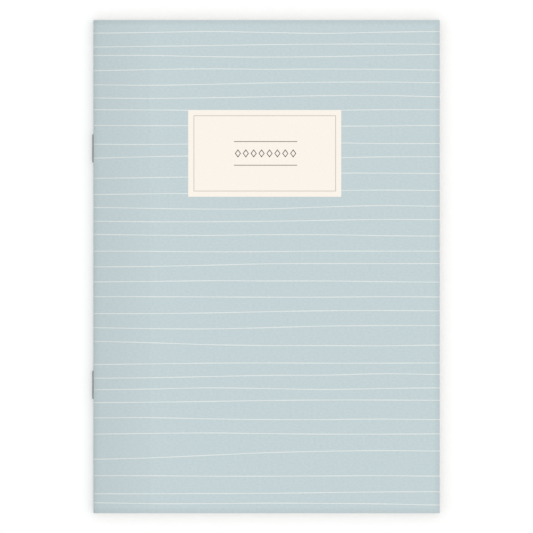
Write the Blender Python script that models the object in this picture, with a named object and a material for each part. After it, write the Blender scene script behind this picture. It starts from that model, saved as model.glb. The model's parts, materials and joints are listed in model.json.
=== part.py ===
"""A staple-bound notebook, closed, lying on its back cover.

The card cover and sixteen sheets are folded round one line, the turning axis, which runs along Y inside the spine at
mid-thickness. Each of them is three solids: a front leaf above, a back leaf below and the U-shaped strip at the fold
that joins them. Two wire staples go in through the spine and are clinched in the centre fold.

Frame: +Z up, the spine along Y on the -X side, the head of the page at +Y. The origin is under the middle of the
notebook, on the surface that it lies on. Each object's own origin is on the turning axis.
"""

import math

import bmesh
import bpy
from mathutils import Matrix

MM = 0.001

# Cover, millimetres
COVER_WIDTH = 147.5
COVER_HEIGHT = 210.0
COVER_CARD = 0.30

# Sheets
SHEETS = 16
PAPER = 0.10
PAGE_GAP = 0.02

# Staples
WIRE = 0.50
CROWN_LENGTH = 12.3
CLINCHED_LENGTH = 4.2
STAPLE_FROM_END = 54.6
STAPLE_BEND = 0.40
STAPLE_SEAT = 0.03
TAIL_CLEARANCE = 0.09
LEG_CLEARANCE = 0.06

# Label on the front of the cover
LABEL_WIDTH = 65.2
LABEL_HEIGHT = 37.0
LABEL_FROM_SPINE = 40.4
LABEL_FROM_HEAD = 38.3
LABEL_PAPER = 0.10
LABEL_GLUE = 0.02

# The folds stay inside a round sleeve about the axis, and the leaves turn round it
SLEEVE_LIP = 0.30
TURNING_GAP = 0.10

# Facets
ARC_STEPS = 12
BEND_STEPS = 4
HOLE_SIDES = 12
MERGE = 0.001

# Worked out from the sizes above
PITCH = PAPER + PAGE_GAP
INNER_FOLD_RADIUS = WIRE / 2 + TAIL_CLEARANCE
COVER_INSIDE = INNER_FOLD_RADIUS + SHEETS * PITCH
COVER_OUTSIDE = COVER_INSIDE + COVER_CARD
SLEEVE_RADIUS = COVER_OUTSIDE + SLEEVE_LIP
LEAF_RADIUS = SLEEVE_RADIUS + TURNING_GAP
FORE_EDGE = COVER_WIDTH - COVER_OUTSIDE
CROWN_X = -(COVER_OUTSIDE + STAPLE_SEAT + WIRE / 2)
AXIS_X = -(FORE_EDGE + CROWN_X - WIRE / 2) / 2
AXIS_Z = COVER_OUTSIDE
STAPLE_Y = COVER_HEIGHT / 2 - STAPLE_FROM_END
LEG_Y = (CROWN_LENGTH - WIRE) / 2


def clear_scene():
    """Start from nothing."""
    for old in list(bpy.data.objects):
        bpy.data.objects.remove(old, do_unlink=True)


def collection(name):
    """A new collection in the scene."""
    made = bpy.data.collections.new(name)
    bpy.context.scene.collection.children.link(made)
    return made


def material(name, hex_colour, roughness, metallic=0.0):
    """A Principled material from an sRGB hex colour."""

    def linear(channel):
        share = channel / 255
        return share / 12.92 if share <= 0.04045 else ((share + 0.055) / 1.055) ** 2.4

    made = bpy.data.materials.new(name)
    made.use_nodes = True
    shader = made.node_tree.nodes["Principled BSDF"]
    red, green, blue = (linear(int(hex_colour[k : k + 2], 16)) for k in (1, 3, 5))
    shader.inputs["Base Color"].default_value = (red, green, blue, 1.0)
    shader.inputs["Roughness"].default_value = roughness
    shader.inputs["Metallic"].default_value = metallic
    made.diffuse_color = (red, green, blue, 1.0)
    return made


def place_on_axis(item, home, finish):
    """Put an object whose own origin is the turning axis in its place."""
    home.objects.link(item)
    item.location = (AXIS_X * MM, 0.0, AXIS_Z * MM)
    item.data.materials.append(finish)
    return item


def curve_object(name, points, cyclic):
    """A poly curve through (x, y) points in millimetres, not yet in a collection."""
    curve = bpy.data.curves.new(name, "CURVE")
    spline = curve.splines.new("POLY")
    spline.points.add(len(points) - 1)
    for spot, (x, y) in zip(spline.points, points):
        spot.co = (x * MM, y * MM, 0.0, 1.0)
    spline.use_cyclic_u = cyclic
    return bpy.data.objects.new(name, curve)


def profile_solid(name, profile, home, finish, length=COVER_HEIGHT, middle_y=0.0):
    """A closed (x, z) profile about the axis, drawn out along Y, as one welded mesh object."""
    outline = curve_object(name, profile, cyclic=True)
    outline.data.dimensions = "2D"
    outline.data.fill_mode = "BOTH"
    outline.data.extrude = length / 2 * MM
    place_on_axis(outline, home, finish)
    outline.rotation_euler = (math.radians(90), 0.0, 0.0)
    outline.location.y = middle_y * MM
    bpy.context.view_layer.update()
    ready = outline.evaluated_get(bpy.context.evaluated_depsgraph_get())
    mesh = bpy.data.meshes.new_from_object(ready)
    shape = bmesh.new()
    shape.from_mesh(mesh)
    bmesh.ops.remove_doubles(shape, verts=shape.verts, dist=MERGE * MM)
    bmesh.ops.recalc_face_normals(shape, faces=shape.faces)
    shape.to_mesh(mesh)
    shape.free()
    solid = bpy.data.objects.new(name, mesh)
    home.objects.link(solid)
    solid.matrix_world = outline.matrix_world
    bpy.data.objects.remove(outline, do_unlink=True)
    solid.name = name
    return solid


def reach(radius, offset):
    """How far out along X a circle about the axis is, at this height above it."""
    return math.sqrt(radius**2 - offset**2)


def half_turn(radius, first, last):
    """Points on a half circle round the -X side of the axis, between two angles in degrees."""
    turn = (last - first) / ARC_STEPS
    angles = [math.radians(first + turn * step) for step in range(ARC_STEPS + 1)]
    return [(radius * math.cos(angle), radius * math.sin(angle)) for angle in angles]


def fold_profile(inside, thickness):
    """A strip bent round the axis with two short straight ends, both cut along the sleeve."""
    outside = inside + thickness
    outer_end = reach(SLEEVE_RADIUS, outside)
    inner_end = reach(SLEEVE_RADIUS, inside)
    return (
        [(outer_end, outside)]
        + half_turn(outside, 90, 270)
        + [(outer_end, -outside), (inner_end, -inside)]
        + half_turn(inside, 270, 90)
        + [(inner_end, inside)]
    )


def leaf_profile(inside, thickness, side):
    """A flat leaf from just outside the sleeve to the fore-edge, above the axis (side 1) or below it (side -1)."""
    outside = inside + thickness
    return [
        (reach(LEAF_RADIUS, inside), side * inside),
        (FORE_EDGE, side * inside),
        (FORE_EDGE, side * outside),
        (reach(LEAF_RADIUS, outside), side * outside),
    ]


def leg_cutter(home):
    """Four round rods where the staple legs go through the fold."""
    shape = bmesh.new()
    depth = COVER_OUTSIDE + SLEEVE_LIP
    lay_down = Matrix.Rotation(math.radians(90), 4, "Y")
    for staple_y in (STAPLE_Y, -STAPLE_Y):
        for leg_y in (LEG_Y, -LEG_Y):
            place = Matrix.Translation((-depth / 2 * MM, (staple_y + leg_y) * MM, 0.0))
            bmesh.ops.create_cone(
                shape,
                cap_ends=True,
                segments=HOLE_SIDES,
                radius1=(WIRE / 2 + LEG_CLEARANCE) * MM,
                radius2=(WIRE / 2 + LEG_CLEARANCE) * MM,
                depth=depth * MM,
                matrix=place @ lay_down,
            )
    mesh = bpy.data.meshes.new("leg_holes")
    shape.to_mesh(mesh)
    shape.free()
    cutter = bpy.data.objects.new("leg_holes", mesh)
    home.objects.link(cutter)
    cutter.location = (AXIS_X * MM, 0.0, AXIS_Z * MM)
    cutter.hide_render = True
    cutter.display_type = "WIRE"
    return cutter


def pierce(fold, cutter):
    """Holes for the staple legs."""
    cut = fold.modifiers.new("leg holes", "BOOLEAN")
    cut.operation = "DIFFERENCE"
    cut.solver = "EXACT"
    cut.object = cutter


def corner(centre_x, centre_y, first, last):
    """The bend of the wire's centre line round one corner, angles in degrees."""
    turn = (last - first) / BEND_STEPS
    angles = [math.radians(first + turn * step) for step in range(BEND_STEPS + 1)]
    return [
        (centre_x + STAPLE_BEND * math.cos(angle), centre_y + STAPLE_BEND * math.sin(angle))
        for angle in angles
    ]


def staple_path():
    """Centre line from the middle of the crown, along one leg, to the tip of its clinched tail."""
    crown_corner = corner(CROWN_X + STAPLE_BEND, LEG_Y - STAPLE_BEND, 180, 90)
    tail_corner = corner(-STAPLE_BEND, LEG_Y - STAPLE_BEND, 90, 0)
    tip = (0.0, LEG_Y + WIRE / 2 - CLINCHED_LENGTH)
    return crown_corner + tail_corner + [tip]


def staple(name, staple_y, home, finish):
    """A bent wire: crown outside the spine, legs through the fold, tails clinched towards each other."""
    half = staple_path()
    other = [(x, -y) for x, y in reversed(half)]
    wire = curve_object(name, other + half, cyclic=False)
    wire.data.dimensions = "3D"
    wire.data.bevel_depth = WIRE / 2 * MM
    wire.data.bevel_resolution = 2
    wire.data.use_fill_caps = True
    place_on_axis(wire, home, finish)
    wire.location.y = staple_y * MM
    return wire


def folded_piece(names, inside, thickness, home, finish, cutter):
    """One folded sheet or the cover: its front leaf, its fold and its back leaf."""
    front_name, fold_name, back_name = names
    profile_solid(front_name, leaf_profile(inside, thickness, 1), home, finish)
    profile_solid(back_name, leaf_profile(inside, thickness, -1), home, finish)
    fold = profile_solid(fold_name, fold_profile(inside, thickness), home, finish)
    pierce(fold, cutter)


def label(home, finish):
    """The pasted paper label, a thin sheet on the front cover."""
    left = LABEL_FROM_SPINE - COVER_OUTSIDE
    low = COVER_OUTSIDE + LABEL_GLUE
    high = low + LABEL_PAPER
    profile = [(left, low), (left + LABEL_WIDTH, low), (left + LABEL_WIDTH, high), (left, high)]
    middle_y = COVER_HEIGHT / 2 - LABEL_FROM_HEAD - LABEL_HEIGHT / 2
    profile_solid("label", profile, home, finish, LABEL_HEIGHT, middle_y)


def main():
    """Build the whole notebook."""
    clear_scene()
    home = collection("notebook")
    cutters = collection("cutters")
    card = material("grey_blue_card", "#C5D3D6", 0.75)
    paper = material("uncoated_paper", "#F6F3EA", 0.85)
    label_stock = material("cream_label_paper", "#FCF3E8", 0.80)
    steel = material("galvanised_wire", "#8E9090", 0.40, 0.9)
    cutter = leg_cutter(cutters)
    cover_names = ("cover_front_panel", "cover_spine", "cover_back_panel")
    folded_piece(cover_names, COVER_INSIDE, COVER_CARD, home, card, cutter)
    for number in range(1, SHEETS + 1):
        sheet = f"sheet_{number:02d}"
        names = (sheet + "_front_leaf", sheet + "_fold", sheet + "_back_leaf")
        inside = INNER_FOLD_RADIUS + (number - 1) * PITCH
        folded_piece(names, inside, PAPER, home, paper, cutter)
    label(home, label_stock)
    staple("upper_staple", STAPLE_Y, home, steel)
    staple("lower_staple", -STAPLE_Y, home, steel)


main()
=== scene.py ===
"""The looks of a closed, staple-bound notebook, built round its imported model.

The printed board cover and every sheet of paper are bent grids. Each is made in two halves that meet at
the middle of the spine, because each half bends between the spine and one leaf when the notebook opens.
Each sheet, and the label, also has a layout for the bake, which keeps its thin print whole.
"""

import json
import math

import bpy
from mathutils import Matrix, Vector


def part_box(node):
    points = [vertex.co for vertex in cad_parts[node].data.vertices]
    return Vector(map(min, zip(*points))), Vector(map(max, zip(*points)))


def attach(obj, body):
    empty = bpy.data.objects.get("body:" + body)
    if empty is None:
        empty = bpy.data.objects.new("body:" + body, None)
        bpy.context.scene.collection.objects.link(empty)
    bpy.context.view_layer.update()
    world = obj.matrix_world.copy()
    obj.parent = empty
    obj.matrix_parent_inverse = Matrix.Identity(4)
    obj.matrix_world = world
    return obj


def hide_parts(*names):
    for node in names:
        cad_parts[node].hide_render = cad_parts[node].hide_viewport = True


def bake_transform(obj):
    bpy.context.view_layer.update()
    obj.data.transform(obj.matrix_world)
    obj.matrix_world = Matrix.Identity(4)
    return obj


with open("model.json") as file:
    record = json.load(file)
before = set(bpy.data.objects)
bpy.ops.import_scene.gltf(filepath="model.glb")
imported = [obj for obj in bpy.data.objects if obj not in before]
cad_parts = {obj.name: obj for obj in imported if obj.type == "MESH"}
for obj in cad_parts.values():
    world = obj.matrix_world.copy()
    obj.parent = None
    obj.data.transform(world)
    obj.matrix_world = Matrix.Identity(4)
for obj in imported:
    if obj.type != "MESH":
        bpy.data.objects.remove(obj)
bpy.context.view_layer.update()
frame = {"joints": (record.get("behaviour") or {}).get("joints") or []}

# Lengths are in millimetres from here on, unless a comment says otherwise
MM = 0.001
SHEETS = 16

# The turning axis, in metres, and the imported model's sizes and its reach and heights from that axis
AXIS = Vector(frame["joints"][0]["pos_m"])
PANEL_LOW, PANEL_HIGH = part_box("cover_front_panel")
LEAF_LOW, LEAF_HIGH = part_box("sheet_01_front_leaf")
PAGE_HEIGHT = (PANEL_HIGH.y - PANEL_LOW.y) / MM
FORE_EDGE = (PANEL_HIGH.x - AXIS.x) / MM
COVER_CARD = (PANEL_HIGH.z - PANEL_LOW.z) / MM
COVER_OUTSIDE = (PANEL_HIGH.z - AXIS.z) / MM
COVER_MIDDLE = COVER_OUTSIDE - COVER_CARD / 2
COVER_WIDTH = FORE_EDGE + COVER_OUTSIDE
PAPER = (LEAF_HIGH.z - LEAF_LOW.z) / MM

# How a folded half is divided along its path: a first hair's width that stands square to the plane where
# the halves meet, so that they join flush, then round the fold, past it, up to where it lies flat, and on
# to the fore-edge
FIRST_COLUMN = 0.01
ARC_COLUMNS = 14
BEND_COLUMNS = 5
NEAR_COLUMNS = 14
NEAR_LENGTH = 12.0
COVER_FAR_COLUMNS = 44
SHEET_FAR_COLUMNS = 8

# Where a sheet starts to settle from its height at the fold to its height in the closed block
SETTLE_START = 2.5

# Back halves are a hair shorter at both ends, so that no two end faces share a plane in the open gutter
BACK_HALF_SHORTER = 0.004

# Corners sharper than these, in degrees, stay sharp
SHEET_SMOOTHING = 35
WIRE_SMOOTHING = 40

# The crease pressed along the outside of the cover where its hinge zone ends
CREASE = 21.6
CREASE_HALF_WIDTH = 0.6
CREASE_DEPTH = 0.06

# One texture unit is the page height, so that the two directions share a scale
UV_SPAN = PAGE_HEIGHT

# Layout of the texture that the export bakes a sheet's finishes on, in pixels of 1024: the gap between its
# parts, the height of the sheet's two sides, and above them the height and step of the bands for the four
# cut edges. The sides' height is 33 pixels to each gap of the ruling, so that each ruled line falls on one
# row of pixels.
BAKE_SIZE = 1024
BAKE_GAP = 4
BAKE_HEIGHT = 990
BAKE_BAND = 4
BAKE_BAND_STEP = 6

# Share of that texture's width for the inner side of the cover, of a leaf, and of the label, whose inner
# side is glued down. A stripe gets the room in its height that this many millimetres of card would.
COVER_INNER_SHARE = 0.15
LEAF_INNER_SHARE = 0.5
LABEL_INNER_SHARE = 0.03
STRIPE_ROOM = 1.2

# The range that a noise texture's values mostly keep to
NOISE_LOW = 0.3
NOISE_HIGH = 0.7

# Painted shade on the cover's print along it from the middle of the spine, as (millimetres, level):
# darkest where the card leaves the fold, and none past the crease
HINGE_RAMP = 40.0
HINGE_SHADE_LEVELS = [
    (0.0, 0.905),
    (2.0, 0.911),
    (3.0, 0.896),
    (3.9, 0.906),
    (5.4, 0.919),
    (9.2, 0.930),
    (15.2, 0.948),
    (20.0, 0.965),
    (23.6, 0.979),
    (24.9, 0.974),
    (25.8, 1.0),
]

# Painted shade darkens the print along the trimmed edges: its level there, and the start and end of its
# rise
EDGE_SHADE_LEVEL = 0.92
EDGE_START = 0.5
EDGE_END = 2.9

# Painted shade dims the stripes round the fold towards the ground: their share there, and the start and
# end of their rise
STRIPE_SHADE_SHARE = 0.45
FADE_START = 0.2
FADE_END = 1.9

# Stripes, read off the cover with a ruler: distance from the head of the page at the spine, at
# each sixth of the width and at the fore-edge
STRIPES = [
    (5.6, 5.3, 4.9, 5.3, 5.7, 5.2, 4.9),
    (11.5, 11.2, 10.9, 10.5, 10.3, 10.2, 10.3),
    (15.1, 15.1, 15.6, 15.8, 15.6, 15.1, 14.7),
    (21.6, 21.1, 20.8, 21.0, 20.9, 21.0, 21.3),
    (27.6, 27.8, 27.4, 26.8, 26.5, 26.4, 26.7),
    (33.2, 33.4, 33.1, 32.7, 32.2, 32.1, 32.7),
    (38.2, 38.3, 38.5, 38.5, 38.5, 38.2, 38.2),
    (44.9, 45.0, 45.0, 45.1, 45.2, 45.1, 44.9),
    (52.9, 53.0, 52.7, 52.5, 52.3, 52.6, 52.6),
    (58.8, 58.2, 57.9, 58.4, 58.7, 58.3, 58.2),
    (67.4, 67.1, 66.7, 66.0, 65.3, 65.2, 65.4),
    (74.3, 74.0, 73.8, 73.2, 72.7, 72.4, 72.6),
    (79.8, 80.2, 80.5, 80.4, 79.6, 79.0, 79.3),
    (85.7, 85.9, 85.9, 85.7, 85.3, 84.9, 85.0),
    (91.3, 91.6, 91.7, 91.4, 91.4, 91.8, 92.0),
    (98.4, 98.5, 98.7, 98.6, 98.4, 98.4, 98.4),
    (105.1, 104.9, 104.4, 103.8, 103.7, 103.7, 103.7),
    (111.5, 111.3, 111.0, 111.1, 111.1, 111.4, 111.6),
    (117.8, 117.8, 117.9, 118.0, 118.0, 117.8, 117.9),
    (125.0, 125.0, 124.7, 124.2, 123.8, 123.7, 123.8),
    (131.0, 131.4, 131.5, 131.0, 130.3, 130.1, 130.1),
    (136.8, 137.4, 138.2, 138.6, 138.6, 138.7, 138.4),
    (146.7, 146.4, 146.1, 146.0, 146.1, 146.1, 146.0),
    (152.5, 152.3, 151.8, 151.3, 151.2, 150.6, 150.9),
    (157.4, 157.1, 156.6, 156.9, 157.3, 156.9, 156.6),
    (162.9, 162.7, 162.4, 162.0, 161.8, 161.8, 161.9),
    (169.4, 169.3, 169.8, 170.1, 170.1, 169.9, 170.1),
    (176.3, 176.0, 175.8, 176.1, 176.3, 176.3, 176.2),
    (187.0, 186.4, 185.3, 184.2, 183.6, 183.3, 183.5),
    (194.0, 194.0, 194.2, 194.2, 194.1, 194.0, 194.2),
    (201.7, 201.7, 201.6, 201.5, 201.2, 200.9, 200.8),
    (205.5, 205.9, 205.9, 205.7, 205.8, 206.0, 206.5),
]

# A stripe's width waves along it by a small share, as if drawn by hand. The wave turns by this many
# radians over the cover's width, and by this many from one stripe to the next.
STRIPE_WIDTH = 0.37
STRIPE_WAVE = 0.12
WAVE_OVER_WIDTH = 23
WAVE_PER_STRIPE = 2.3

# The pages' ruling
RULING_GAP = 7.0
RULING_HALF_LINE = 0.09
RULING_FROM_FOOT = 13.0
RULING_FROM_HEAD = 20.0

# A leaf's paper is lighter or darker than the rest by a small share, which follows a wave that turns by
# this many radians for its sheet's number and for its side
LEAF_TONE_WAVE = 0.012
WAVE_PER_SHEET = 5.1
WAVE_PER_SIDE = 2.0

# The label's print, from its middle: a frame line, two rules, and lozenge outlines between them
FRAME_HALF_WIDTH = 30.15
FRAME_HALF_HEIGHT = 16.03
FRAME_HALF_LINE = 0.14
RULES_MIDDLE = 0.35
RULE_HALF_LENGTH = 13.45
RULE_HEIGHT = 5.04
RULE_HALF_LINE = 0.16
LOZENGES = 8
LOZENGE_HALF_WIDTH = 1.30
LOZENGE_HALF_HEIGHT = 1.75

# A lozenge's outline runs at this share of its half width and half height, this share to either side
LOZENGE_LINE = 0.85
LOZENGE_HALF_LINE = 0.15

# Where the label's mesh is divided, this far to either side of each part of its print, and the room that
# each zone gets on the baked texture, from edge to edge: most of it where there is print
ROUND_FRAME = 0.60
ROUND_RULES = 0.55
ROUND_LOZENGES = 0.20
LABEL_COLUMNS = [
    -FRAME_HALF_WIDTH - ROUND_FRAME,
    -FRAME_HALF_WIDTH + ROUND_FRAME,
    RULES_MIDDLE - RULE_HALF_LENGTH - ROUND_RULES,
    RULES_MIDDLE + RULE_HALF_LENGTH + ROUND_RULES,
    FRAME_HALF_WIDTH - ROUND_FRAME,
    FRAME_HALF_WIDTH + ROUND_FRAME,
]
LABEL_COLUMN_ROOMS = [5, 14, 24, 160, 24, 14, 5]
LABEL_UPPER_ROWS = [
    LOZENGE_HALF_HEIGHT + ROUND_LOZENGES,
    RULE_HEIGHT - ROUND_RULES,
    RULE_HEIGHT + ROUND_RULES,
    FRAME_HALF_HEIGHT - ROUND_FRAME,
    FRAME_HALF_HEIGHT + ROUND_FRAME,
]
LABEL_ROWS = [-row for row in reversed(LABEL_UPPER_ROWS)] + LABEL_UPPER_ROWS
LABEL_ROW_ROOMS = [5, 14, 18, 14, 6, 70, 6, 14, 18, 14, 5]

# A staple's round bends, and two places on each clinched tail, part-way and at its tip: how far the place
# is along the fold from the leg's middle, and how far it is pressed back towards the spine
STAPLE_BEND = 0.40
STAPLE_BEND_STEPS = 8
TAIL_PLACES = [(2.4, 0.03), (3.75, 0.06)]

# The dome's share of the light. The rest comes from a softbox straight above, this many degrees across.
DOME_LIGHT = 0.62
SOFTBOX_ANGLE = 112

# The white paper underneath: how much light it bounces, the glow that makes it plain white to the camera,
# its size in metres, and how far it lies below the notebook
PAPER_BOUNCE = 0.82
PAPER_GLOW = 0.02
FLOOR_SIZE = 6.0
FLOOR_DROP = 0.1

# The camera sees this much of the cover's plane, and stands this far from its middle towards the head. Its
# clip distances are in metres.
VIEW_WIDTH = 226.9
VIEW_RAISED = 0.05
LENS = 400.0
SENSOR = 36.0
CLIP_NEAR = 0.1
CLIP_FAR = 20.0

# The Mix node's sockets for vectors, by number, because its other sockets have the same names
MIX_FIRST = 4
MIX_SECOND = 5
MIX_RESULT = 1


def linear_colour(hex_colour):
    """An sRGB hex colour as linear red, green and blue."""
    shares = [int(hex_colour[k : k + 2], 16) / 255 for k in (1, 3, 5)]
    return [s / 12.92 if s <= 0.04045 else ((s + 0.055) / 1.055) ** 2.4 for s in shares]


def add(tree, kind, inputs=(), **settings):
    """Add a node with its settings. Each input, in order or by name, is a value, a socket, or a node
    whose first output is linked."""
    made = tree.nodes.new("ShaderNode" + kind)
    for name, value in settings.items():
        setattr(made, name, value)
    for key, value in inputs.items() if isinstance(inputs, dict) else enumerate(inputs):
        if isinstance(value, bpy.types.Node):
            tree.links.new(value.outputs[0], made.inputs[key])
        elif isinstance(value, bpy.types.NodeSocket):
            tree.links.new(value, made.inputs[key])
        else:
            made.inputs[key].default_value = value
    return made


def new_finish(name, roughness, **sockets):
    """A material with its Principled shader's plain values set, and the tree to add nodes to."""
    made = bpy.data.materials.new(name)
    made.use_nodes = True
    shader = made.node_tree.nodes["Principled BSDF"]
    shader.inputs["Roughness"].default_value = roughness
    for socket, value in sockets.items():
        shader.inputs[socket.replace("_", " ")].default_value = value
    return made, made.node_tree, shader


def dress(tree, shader, colour, tone, relief, depth):
    """Give the shader a colour, lighter and darker by the tone, and a relief, depth millimetres deep."""
    toned = add(tree, "VectorMath", {0: colour, "Scale": tone}, operation="SCALE")
    tree.links.new(toned.outputs[0], shader.inputs["Base Color"])
    bump = add(tree, "Bump", {"Height": relief, "Strength": 1.0, "Distance": depth * MM})
    tree.links.new(bump.outputs[0], shader.inputs["Normal"])


def sheet_places(tree):
    """Places on a folded piece in millimetres: as a vector, then along the sheet from the spine, then up
    from the foot."""
    uv = add(tree, "UVMap", uv_map="UVMap")
    place = add(tree, "VectorMath", [uv, (UV_SPAN,) * 3], operation="MULTIPLY")
    parts = add(tree, "SeparateXYZ", [place])
    return place, parts.outputs["X"], parts.outputs["Y"]


def grain(tree, place, size, levels=(0.0, 1.0), detail=3.0):
    """Fibre, about size (along, up, deep) millimetres to a blotch, as a level between the two levels."""
    stretched = add(tree, "VectorMath", [place, tuple(1 / s for s in size)], operation="MULTIPLY")
    fibre = add(tree, "TexNoise", {"Vector": stretched, "Scale": 1.0, "Detail": detail})
    return add(tree, "MapRange", [fibre, NOISE_LOW, NOISE_HIGH, *levels])


def board_shade_and_fibre(tree, place, along, up):
    """The printed board's brightness: painted shade darkens it in the hinge zone by the spine, where a
    faint crease ends it, and along the trimmed edges, and its fibre gives a fine, even mottle."""
    # Painted shade by the spine, at the levels listed above
    spine_shade = add(tree, "ValToRGB", [add(tree, "Math", [along, HINGE_RAMP], operation="DIVIDE")])
    stops = spine_shade.color_ramp.elements
    for number, (distance, level) in enumerate(HINGE_SHADE_LEVELS):
        stop = stops[number] if number < 2 else stops.new(distance / HINGE_RAMP)
        stop.position = distance / HINGE_RAMP
        stop.color = (level, level, level, 1)
    half = PAGE_HEIGHT / 2
    past_middle = add(tree, "Math", [up, half], operation="SUBTRACT")
    from_middle = add(tree, "Math", [past_middle], operation="ABSOLUTE")
    from_end = add(tree, "Math", [half, from_middle], operation="SUBTRACT")
    sheet_end = math.pi / 2 * COVER_MIDDLE + FORE_EDGE
    from_side = add(tree, "Math", [sheet_end, along], operation="SUBTRACT")
    edge = add(tree, "Math", [from_end, from_side], operation="MINIMUM")
    # Painted shade along the trimmed edges
    rise = [edge, EDGE_START, EDGE_END, EDGE_SHADE_LEVEL, 1.0]
    edge_shade = add(tree, "MapRange", rise, interpolation_type="SMOOTHSTEP")
    fibre = grain(tree, place, size=(1.3, 0.7, 1.0), levels=(0.965, 1.035))
    # Painted shade by the spine and along the edges together
    painted_shade = add(tree, "Math", [spine_shade, edge_shade], operation="MULTIPLY")
    return add(tree, "Math", [painted_shade, fibre], operation="MULTIPLY")


def printed_board():
    """Offset-printed solid board in two finishes, the pale blue ground and the white stripes. Both are a
    matt ink film over board fibre, so the colour is even from afar and finely mottled close up, with
    painted shade by the spine and along the edges."""
    ground = linear_colour("#C1D0D3")
    white = linear_colour("#E0E6E4")
    finishes = []
    for name, striped in (("blue_offset_ink_on_board", False), ("white_offset_stripe_on_board", True)):
        made, tree, shader = new_finish(name, roughness=0.62, IOR=1.47)
        place, along, up = sheet_places(tree)
        colour = ground
        if striped:
            # Painted shade: round the fold the stripes are mixed towards the ground
            stripe_shade = add(tree, "MapRange", [along, FADE_START, FADE_END, STRIPE_SHADE_SHARE, 1.0])
            inks = {"Factor": stripe_shade, MIX_FIRST: ground, MIX_SECOND: white}
            colour = add(tree, "Mix", inks, data_type="VECTOR").outputs[MIX_RESULT]
        # The tone is painted shade by the spine and along the edges, with the fibre's mottle
        tone = board_shade_and_fibre(tree, place, along, up)
        relief = grain(tree, place, size=(0.5, 0.3, 1.0))
        dress(tree, shader, colour, tone, relief, depth=0.006)
        finishes.append(made)
    return finishes


def bare_board():
    """Bleached board, unprinted: the inside of the cover and its cut edges, soft white with a little
    visible fibre."""
    made, tree, shader = new_finish("bare_bleached_board", roughness=0.85)
    place = sheet_places(tree)[0]
    tone = grain(tree, place, size=(1.6, 0.5, 1.0), levels=(0.975, 1.015), detail=4.0)
    relief = grain(tree, place, size=(0.5, 0.3, 1.0), detail=4.0)
    dress(tree, shader, linear_colour("#F0EEE8"), tone, relief, depth=0.01)
    return made


def writing_paper():
    """Uncoated writing paper: warm white, faintly cloudy and ruled in pale blue-grey ink."""
    made, tree, shader = new_finish("ruled_uncoated_paper", roughness=0.88)
    place, along, up = sheet_places(tree)
    fold = add(tree, "Math", [up, RULING_GAP / 2], operation="PINGPONG")
    on_line = add(tree, "Math", [fold, RULING_GAP / 2, RULING_HALF_LINE], operation="COMPARE")
    above = add(tree, "Math", [up, RULING_FROM_FOOT], operation="GREATER_THAN")
    below = add(tree, "Math", [up, PAGE_HEIGHT - RULING_FROM_HEAD], operation="LESS_THAN")
    within = add(tree, "Math", [above, below], operation="MULTIPLY")
    ruled = add(tree, "Math", [on_line, within], operation="MULTIPLY")
    inks = {"Factor": ruled, MIX_FIRST: linear_colour("#F5F3ED"), MIX_SECOND: linear_colour("#C2CBD2")}
    colour = add(tree, "Mix", inks, data_type="VECTOR").outputs[MIX_RESULT]
    leaf_tone = add(tree, "Attribute", attribute_name="leaf_tone").outputs["Fac"]
    cloud = grain(tree, place, size=(6.0, 5.0, 1.0), levels=(0.985, 1.01))
    tone = add(tree, "Math", [leaf_tone, cloud], operation="MULTIPLY")
    relief = grain(tree, place, size=(0.6, 0.35, 1.0))
    dress(tree, shader, colour, tone, relief, depth=0.008)
    return made


def cut_paper():
    """The cut edge of the writing paper: bare, a little fuzzy and rougher than the page."""
    made, tree, shader = new_finish("cut_edge_of_writing_paper", roughness=0.92)
    place = sheet_places(tree)[0]
    fuzz = grain(tree, place, size=(0.5, 0.5, 1.0), levels=(0.95, 1.03))
    dress(tree, shader, linear_colour("#F2F1ED"), fuzz, fuzz, depth=0.01)
    return made


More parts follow.
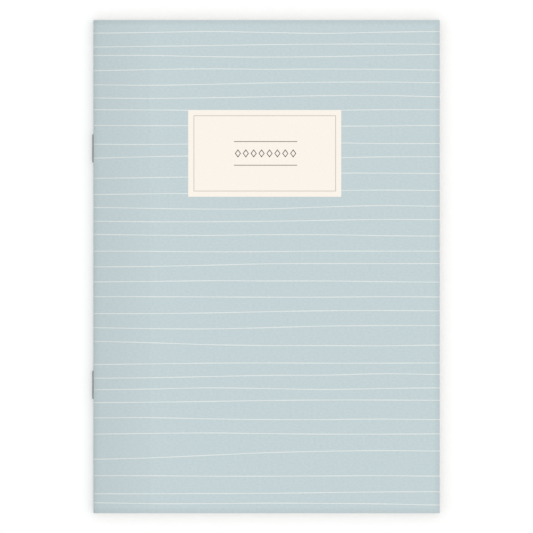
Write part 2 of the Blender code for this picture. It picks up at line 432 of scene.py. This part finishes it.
def label_stock():
    """Cream label paper, uncoated, letterpress printed so that the ink sits a little low: a thin frame
    line, two short rules and a row of small lozenges between them."""
    made, tree, shader = new_finish("printed_cream_label_paper", roughness=0.8)
    low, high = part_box("label")
    spot = add(tree, "TexCoord").outputs["Object"]
    centred = add(tree, "VectorMath", [spot, tuple((low + high) / 2)], operation="SUBTRACT")
    place = add(tree, "VectorMath", {0: centred, "Scale": 1 / MM}, operation="SCALE")
    parts = add(tree, "SeparateXYZ", [place])
    across, up = parts.outputs["X"], parts.outputs["Y"]
    from_centre = add(tree, "Math", [across], operation="ABSOLUTE")
    from_midline = add(tree, "Math", [up], operation="ABSOLUTE")

    past_side = add(tree, "Math", [from_centre, FRAME_HALF_WIDTH], operation="SUBTRACT")
    past_end = add(tree, "Math", [from_midline, FRAME_HALF_HEIGHT], operation="SUBTRACT")
    past_frame = add(tree, "Math", [past_side, past_end], operation="MAXIMUM")
    on_frame = add(tree, "Math", [past_frame, 0.0, FRAME_HALF_LINE], operation="COMPARE")

    shifted = add(tree, "Math", [across, RULES_MIDDLE], operation="SUBTRACT")
    from_middle = add(tree, "Math", [shifted], operation="ABSOLUTE")
    within = add(tree, "Math", [from_middle, RULE_HALF_LENGTH], operation="LESS_THAN")
    on_level = add(tree, "Math", [from_midline, RULE_HEIGHT, RULE_HALF_LINE], operation="COMPARE")
    on_rule = add(tree, "Math", [within, on_level], operation="MULTIPLY")

    # Lozenges side by side, each a line of constant |x| / half width + |y| / half height
    step = 2 * RULE_HALF_LENGTH / LOZENGES
    mirrored = add(tree, "Math", [shifted, step], operation="PINGPONG")
    past_lozenge = add(tree, "Math", [mirrored, step / 2], operation="SUBTRACT")
    from_lozenge = add(tree, "Math", [past_lozenge], operation="ABSOLUTE")
    wide = add(tree, "Math", [from_lozenge, LOZENGE_HALF_WIDTH], operation="DIVIDE")
    tall = add(tree, "Math", [from_midline, LOZENGE_HALF_HEIGHT], operation="DIVIDE")
    reach = add(tree, "Math", [wide, tall], operation="ADD")
    outline = add(tree, "Math", [reach, LOZENGE_LINE, LOZENGE_HALF_LINE], operation="COMPARE")
    on_lozenge = add(tree, "Math", [within, outline], operation="MULTIPLY")

    colour = linear_colour("#FAF3E9")
    printed = 0.0
    for ink, mask in (("#C4BCB1", on_frame), ("#7A726B", on_rule), ("#2F2E2C", on_lozenge)):
        inks = {"Factor": mask, MIX_FIRST: colour, MIX_SECOND: linear_colour(ink)}
        colour = add(tree, "Mix", inks, data_type="VECTOR").outputs[MIX_RESULT]
        printed = add(tree, "Math", [printed, mask], operation="MAXIMUM")
    tone = grain(tree, place, size=(0.8, 0.5, 1.0), levels=(0.985, 1.015))
    fibre = grain(tree, place, size=(0.5, 0.4, 1.0))
    relief = add(tree, "Math", [printed, -1.0, fibre], operation="MULTIPLY_ADD")
    dress(tree, shader, colour, tone, relief, depth=0.01)
    return made


def stitching_wire():
    """Tinned steel stitching wire: drawn, so faint streaks run along it, dull grey with a soft shine."""
    made, tree, shader = new_finish("tinned_stitching_wire", roughness=0.36, Metallic=1.0)
    spot = add(tree, "TexCoord").outputs["Object"]
    place = add(tree, "VectorMath", {0: spot, "Scale": 1 / MM}, operation="SCALE")
    streak = grain(tree, place, size=(0.12, 1.6, 0.12), levels=(0.9, 1.08))
    dress(tree, shader, linear_colour("#85888A"), streak, streak, depth=0.004)
    return made


def seen_directly(tree):
    """1 where the white is seen straight, in something shiny or through something clear, and 0 where it
    only lights other things."""
    ray = add(tree, "LightPath").outputs
    seen = add(tree, "Math", [ray["Is Camera Ray"], ray["Is Glossy Ray"]], operation="MAXIMUM")
    return add(tree, "Math", [seen, ray["Is Transmission Ray"]], operation="MAXIMUM")


def studio_paper():
    """White background paper: plain white to the camera and shiny things, though it keeps the shadow."""
    made, tree, shader = new_finish("white_background_paper", roughness=1.0, Specular_IOR_Level=0.0)
    seen = seen_directly(tree)
    whites = {"Factor": seen, MIX_FIRST: (PAPER_BOUNCE,) * 3, MIX_SECOND: (1.0,) * 3}
    colour = add(tree, "Mix", whites, data_type="VECTOR").outputs[MIX_RESULT]
    tree.links.new(colour, shader.inputs["Base Color"])
    shader.inputs["Emission Color"].default_value = (1, 1, 1, 1)
    glow = add(tree, "Math", [seen, PAPER_GLOW], operation="MULTIPLY")
    tree.links.new(glow.outputs[0], shader.inputs["Emission Strength"])
    return made


def smooth(share):
    """An even step from 0 to 1 with soft ends."""
    share = min(max(share, 0.0), 1.0)
    return share * share * (3 - 2 * share)


def half_path(middle, far_middle, far_columns, creases=()):
    """Places (x, z) down the middle of one folded half: round the fold from its outermost line, then flat
    to the fore-edge, settling from its height at the fold to its height in the closed block. Creases are
    extra columns."""
    places = [(-middle, 0.0), (-middle, FIRST_COLUMN)]
    for step in range(1, ARC_COLUMNS + 1):
        turn = math.pi / 2 * step / ARC_COLUMNS
        places.append((-middle * math.cos(turn), middle * math.sin(turn)))
    flat = [middle * (step + 1) / BEND_COLUMNS for step in range(BEND_COLUMNS)]
    near = (middle, NEAR_LENGTH, NEAR_COLUMNS)
    far = (NEAR_LENGTH, FORE_EDGE, far_columns)
    for start, end, columns in (near, far):
        flat += [start + (end - start) * (step + 1) / columns for step in range(columns)]
    for x in sorted(flat + list(creases)):
        settled = smooth((x - SETTLE_START) / (NEAR_LENGTH - SETTLE_START))
        places.append((x, middle + (far_middle - middle) * settled))
    return places


def spread(rooms, low, high):
    """Places from low to high, with each room's share between one and the next."""
    places = [low]
    for room in rooms:
        places.append(places[-1] + (high - low) * room / sum(rooms))
    return places


def lay_out_bake(mesh, column_rooms, row_rooms, side, inner_share):
    """Lay a sheet out flat on the texture of its bake, in a second UV map of the name that the export
    keeps: outer side and inner side, and above them the cut edges as bands.

    The rooms are how wide each column and how high each row of the sheet is there. Print finer than a
    pixel gets more room than in life, so the exported model keeps it whole. The first map, which the
    finishes read, stays as it is. The sheet is a grid that Solidify made thick, so its vertices are the
    outer side's and then the inner side's, and its faces are those and then the cut edges'.
    """
    split = BAKE_SIZE - 2 * BAKE_GAP - inner_share * (BAKE_SIZE - 3 * BAKE_GAP)
    outer = spread(column_rooms, BAKE_GAP, split)
    inner = spread(column_rooms, split + BAKE_GAP, BAKE_SIZE - BAKE_GAP)
    across = spread(column_rooms, BAKE_GAP, BAKE_SIZE - BAKE_GAP)
    up = spread(row_rooms, BAKE_GAP, BAKE_GAP + BAKE_HEIGHT)
    first_band = BAKE_GAP + BAKE_HEIGHT + BAKE_GAP
    columns = len(across)
    corners = columns * len(up)
    faces = len(column_rooms) * len(row_rooms)
    layout = mesh.uv_layers.new(name="OFBake").data
    for face in mesh.polygons:
        spots = [divmod(vertex % corners, columns) for vertex in face.vertices]
        one_column = len({column for row, column in spots}) == 1
        for loop, vertex, (row, column) in zip(face.loop_indices, face.vertices, spots):
            line = row if side > 0 else len(row_rooms) - row
            if face.index < 2 * faces:
                is_inner = face.index >= faces
                places = inner if is_inner else outer
                # Seen from below, a side is mirrored, so that its relief bakes the right way round
                mirrored = is_inner == (side > 0)
                x = places[0] + places[-1] - places[column] if mirrored else places[column]
                y = up[line]
            else:
                # Bands from below: the edge at the fold, the fore-edge, the foot and the head
                x = up[line] if one_column else across[column]
                band = (column > 0) if one_column else 2 + (line > 0)
                y = first_band + BAKE_BAND_STEP * band + BAKE_BAND * (vertex >= corners)
            layout[loop].uv = (x / BAKE_SIZE, y / BAKE_SIZE)


def folded_half(name, path, row_lines, side, thickness, finishes, offsets, tone=1.0, striped=False):
    """A bent sheet: a flat grid laid along the path, then given its thickness.

    row_lines(x) gives the rows' heights up the page, foot first, where the path is at x. Side 1 is the
    front half, above the axis, and side -1 the back half. On a striped half the rows wear the first and
    second finish in turn. The offsets say how many finishes further on the inner side's and the cut
    edge's are.
    """
    columns = len(path)
    rows = len(row_lines(0.0))
    bpy.ops.object.select_all(action="DESELECT")
    bpy.ops.mesh.primitive_grid_add(x_subdivisions=columns - 1, y_subdivisions=rows - 1, size=1.0)
    piece = bpy.context.object
    piece.name = name
    mesh = piece.data
    mesh.name = name
    for finish in finishes:
        mesh.materials.append(finish)
    if striped:
        for face in mesh.polygons:
            row = int((face.center.y + 0.5) * (rows - 1))
            line = row if side > 0 else rows - 2 - row
            face.material_index = line % 2
    lengths = [0.0]
    for (x0, z0), (x1, z1) in zip(path, path[1:]):
        lengths.append(lengths[-1] + math.hypot(x1 - x0, z1 - z0))
    lines = [row_lines(x) for x, z in path]
    shorter = 0.0 if side > 0 else BACK_HALF_SHORTER
    texture = []
    for vertex in mesh.vertices:
        column = round((vertex.co.x + 0.5) * (columns - 1))
        row = round((vertex.co.y + 0.5) * (rows - 1))
        line = row if side > 0 else rows - 1 - row
        up = min(max(lines[column][line], shorter), PAGE_HEIGHT - shorter)
        x, z = path[column]
        vertex.co = AXIS + Vector((x, up - PAGE_HEIGHT / 2, side * z)) * MM
        texture.append((lengths[column] / UV_SPAN, up / UV_SPAN))
    for corner, loop in zip(mesh.uv_layers["UVMap"].data, mesh.loops):
        corner.uv = texture[loop.vertex_index]
    leaf_tone = mesh.attributes.new("leaf_tone", "FLOAT", "POINT")
    leaf_tone.data.foreach_set("value", [tone] * len(mesh.vertices))
    wall = piece.modifiers.new("thickness", "SOLIDIFY")
    wall.thickness = thickness * MM
    wall.offset = 0.0
    wall.use_even_offset = True
    wall.material_offset, wall.material_offset_rim = offsets
    bpy.ops.object.modifier_apply(modifier=wall.name)
    bpy.ops.object.shade_smooth_by_angle(angle=math.radians(SHEET_SMOOTHING))
    widths = [after - before for before, after in zip(lengths, lengths[1:])]
    middle = lines[columns // 2]
    heights = [upper - lower for lower, upper in zip(middle, middle[1:])]
    if striped:
        heights[1::2] = [STRIPE_ROOM] * len(STRIPES)
    inner_share = COVER_INNER_SHARE if striped else LEAF_INNER_SHARE
    lay_out_bake(piece.data, widths, heights, side, inner_share)
    return piece


def bend_with_leaf(piece):
    """Bake a folded half's placement into its mesh."""
    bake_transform(piece)


def stripe_height(stripe, share):
    """A stripe's distance from the head at a share of the way from the spine to the fore-edge, on a
    smooth line through its places."""
    spans = len(stripe) - 1
    place = min(max(share, 0.0), 1.0) * spans
    index = min(int(place), spans - 1)
    t = place - index
    before, start, end, after = (stripe[min(max(index + k, 0), spans)] for k in (-1, 0, 1, 2))
    return 0.5 * (
        2 * start
        + (end - before) * t
        + (2 * before - 5 * start + 4 * end - after) * t**2
        + (3 * start - before - 3 * end + after) * t**3
    )


def cover_lines(x):
    """Row lines of the cover at x from the axis: the foot, both edges of each stripe, and the head."""
    share = (x + COVER_OUTSIDE) / COVER_WIDTH
    lines = [0.0]
    for number, stripe in reversed(list(enumerate(STRIPES))):
        middle = PAGE_HEIGHT - stripe_height(stripe, share)
        wave = math.sin(WAVE_OVER_WIDTH * share + WAVE_PER_STRIPE * number)
        half = STRIPE_WIDTH / 2 * (1 + STRIPE_WAVE * wave)
        lines += [middle - half, middle + half]
    return lines + [PAGE_HEIGHT]


def leaf_lines(x):
    """Row lines of a leaf, the same at every x: the foot, two between, and the head."""
    return [0.0, PAGE_HEIGHT / 3, PAGE_HEIGHT * 2 / 3, PAGE_HEIGHT]


def press_crease(half, side):
    """Press the crease into the outer face of a cover half."""
    for vertex in half.data.vertices:
        x = (vertex.co.x - AXIS.x) / MM
        height = (vertex.co.z - AXIS.z) * side / MM
        near = 1 - abs(x - CREASE) / CREASE_HALF_WIDTH
        if near > 0 and height > COVER_MIDDLE:
            vertex.co.z -= side * near * CREASE_DEPTH * MM


def cover():
    """The board cover in two halves, printed outside and bare inside."""
    ground, stripe = printed_board()
    core = bare_board()
    finishes = [ground, stripe, core, core]
    creases = [CREASE + CREASE_HALF_WIDTH * share for share in (-1.0, -0.5, 0.0, 0.5, 1.0)]
    path = half_path(COVER_MIDDLE, COVER_MIDDLE, COVER_FAR_COLUMNS, creases)
    for name, side, body, node in (
        ("cover_front_half", 1, "front_cover", "cover_front_panel"),
        ("cover_back_half", -1, "back_cover", "cover_back_panel"),
    ):
        half = folded_half(
            name, path, cover_lines, side, COVER_CARD, finishes, offsets=(2, 2), striped=True
        )
        press_crease(half, side)
        bend_with_leaf(half)
        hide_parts(node, "cover_spine")


def pages():
    """Sixteen folded sheets, each in two halves, spread evenly through the closed block."""
    finishes = [writing_paper(), cut_paper()]
    room = COVER_OUTSIDE - COVER_CARD
    for number in range(1, SHEETS + 1):
        sheet = f"sheet_{number:02d}"
        middle = (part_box(sheet + "_front_leaf")[1].z - AXIS.z) / MM - PAPER / 2
        far_middle = room * (number - 0.5) / SHEETS
        path = half_path(middle, far_middle, SHEET_FAR_COLUMNS)
        for part, side in (("front", 1), ("back", -1)):
            name = f"{sheet}_{part}_half"
            tone = 1.0 + LEAF_TONE_WAVE * math.sin(WAVE_PER_SHEET * number + WAVE_PER_SIDE * side)
            half = folded_half(name, path, leaf_lines, side, PAPER, finishes, offsets=(0, 1), tone=tone)
            bend_with_leaf(half)
            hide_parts(f"{sheet}_{part}_leaf", sheet + "_fold")


def staple_points(middle_y, low, high, wire):
    """Centre line of a clinched staple in plan, tip to tip, with round bends."""
    crown_x = low.x / MM + wire / 2
    tail_x = high.x / MM - wire / 2
    leg_y = (high.y - low.y) / 2 / MM - wire / 2
    at_crown = (crown_x + STAPLE_BEND, 180, 90)
    at_tail = (tail_x - STAPLE_BEND, 90, 0)
    half = []
    for centre_x, first, last in (at_crown, at_tail):
        for step in range(STAPLE_BEND_STEPS + 1):
            angle = math.radians(first + (last - first) * step / STAPLE_BEND_STEPS)
            x = centre_x + STAPLE_BEND * math.cos(angle)
            y = leg_y - STAPLE_BEND + STAPLE_BEND * math.sin(angle)
            half.append((x, y))
    for along, pressed in TAIL_PLACES:
        half.append((tail_x - pressed, leg_y - along))
    return [(x, middle_y - y) for x, y in reversed(half)] + [(x, middle_y + y) for x, y in half]


def staples():
    """Two stitching-wire staples, round in section, with their tails clinched in the centre fold."""
    finish = stitching_wire()
    for name in ("upper_staple", "lower_staple"):
        low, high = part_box(name)
        wire = (high.z - low.z) / MM
        curve = bpy.data.curves.new(name, "CURVE")
        curve.dimensions = "3D"
        points = staple_points((low.y + high.y) / 2 / MM, low, high, wire)
        line = curve.splines.new("POLY")
        line.points.add(len(points) - 1)
        for spot, (x, y) in zip(line.points, points):
            spot.co = (x * MM, y * MM, (low.z + high.z) / 2, 1)
        curve.bevel_depth = wire / 2 * MM
        curve.bevel_resolution = 4
        curve.use_fill_caps = True
        rough = bpy.data.objects.new(name + "_line", curve)
        bpy.context.scene.collection.objects.link(rough)
        bpy.ops.object.select_all(action="DESELECT")
        rough.select_set(True)
        bpy.context.view_layer.objects.active = rough
        bpy.ops.object.convert(target="MESH")
        bent = bpy.context.object
        bent.name = name + "_wire"
        bpy.ops.object.mode_set(mode="EDIT")
        bpy.ops.mesh.select_all(action="SELECT")
        bpy.ops.mesh.remove_doubles(threshold=0.000001)
        bpy.ops.mesh.normals_make_consistent(inside=False)
        bpy.ops.object.mode_set(mode="OBJECT")
        bpy.ops.object.shade_smooth_by_angle(angle=math.radians(WIRE_SMOOTHING))
        bent.data.materials.clear()
        bent.data.materials.append(finish)
        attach(bent, "spine")
        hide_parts(name)


def label():
    """The pasted label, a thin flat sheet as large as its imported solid."""
    low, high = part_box("label")
    middle = (low + high) / 2
    reach = (high - low) / 2 / MM
    columns = [-reach.x, *LABEL_COLUMNS, reach.x]
    rows = [-reach.y, *LABEL_ROWS, reach.y]
    last_column = len(columns) - 1
    last_row = len(rows) - 1
    bpy.ops.object.select_all(action="DESELECT")
    bpy.ops.mesh.primitive_grid_add(x_subdivisions=last_column, y_subdivisions=last_row, size=1.0)
    piece = bpy.context.object
    piece.name = "pasted_label"
    mesh = piece.data
    mesh.name = piece.name
    mesh.materials.append(label_stock())
    for vertex in mesh.vertices:
        column = round((vertex.co.x + 0.5) * last_column)
        row = round((vertex.co.y + 0.5) * last_row)
        vertex.co = middle + Vector((columns[column], rows[row], 0)) * MM
    wall = piece.modifiers.new("thickness", "SOLIDIFY")
    wall.thickness = high.z - low.z
    wall.offset = 0.0
    bpy.ops.object.modifier_apply(modifier=wall.name)
    lay_out_bake(piece.data, LABEL_COLUMN_ROOMS, LABEL_ROW_ROOMS, 1, LABEL_INNER_SHARE)
    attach(piece, "front_cover")
    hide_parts("label")


def background():
    """A sheet of white paper, a hair below the notebook so that the two never share a plane."""
    bpy.ops.object.select_all(action="DESELECT")
    bpy.ops.mesh.primitive_plane_add(size=FLOOR_SIZE, location=(0, 0, -FLOOR_DROP * MM))
    floor = bpy.context.object
    floor.name = "studio_floor"
    floor.data.materials.append(studio_paper())


def lights():
    """An even dome that the camera sees as plain white, and a soft light from straight above."""
    world = bpy.data.worlds.new("soft_white_dome")
    bpy.context.scene.world = world
    world.use_nodes = True
    tree = world.node_tree
    shares = [seen_directly(tree), 1.0 - DOME_LIGHT, DOME_LIGHT]
    strength = add(tree, "Math", shares, operation="MULTIPLY_ADD")
    backdrop = tree.nodes["Background"]
    backdrop.inputs["Color"].default_value = (1, 1, 1, 1)
    tree.links.new(strength.outputs[0], backdrop.inputs["Strength"])

    sun = bpy.data.lights.new("overhead_softbox", "SUN")
    sun.energy = math.pi * (1.0 - DOME_LIGHT)
    sun.angle = math.radians(SOFTBOX_ANGLE)
    lamp = bpy.data.objects.new("overhead_softbox", sun)
    bpy.context.scene.collection.objects.link(lamp)


def copy_stand():
    """A camera with a long lens that looks straight down on the middle of the cover."""
    camera = bpy.data.cameras.new("copy_stand")
    camera.lens = LENS
    camera.sensor_width = SENSOR
    camera.clip_start = CLIP_NEAR
    camera.clip_end = CLIP_FAR
    stand = bpy.data.objects.new("copy_stand", camera)
    cover_middle = AXIS.x + (FORE_EDGE - COVER_OUTSIDE) / 2 * MM
    top = AXIS.z + COVER_OUTSIDE * MM
    stand.location = (cover_middle, VIEW_RAISED * MM, top + LENS / SENSOR * VIEW_WIDTH * MM)
    bpy.context.scene.collection.objects.link(stand)
    bpy.context.scene.camera = stand
    bpy.context.scene.view_settings.view_transform = "Standard"


background()
lights()
copy_stand()
cover()
pages()
staples()
label()
bpy.context.view_layer.update()
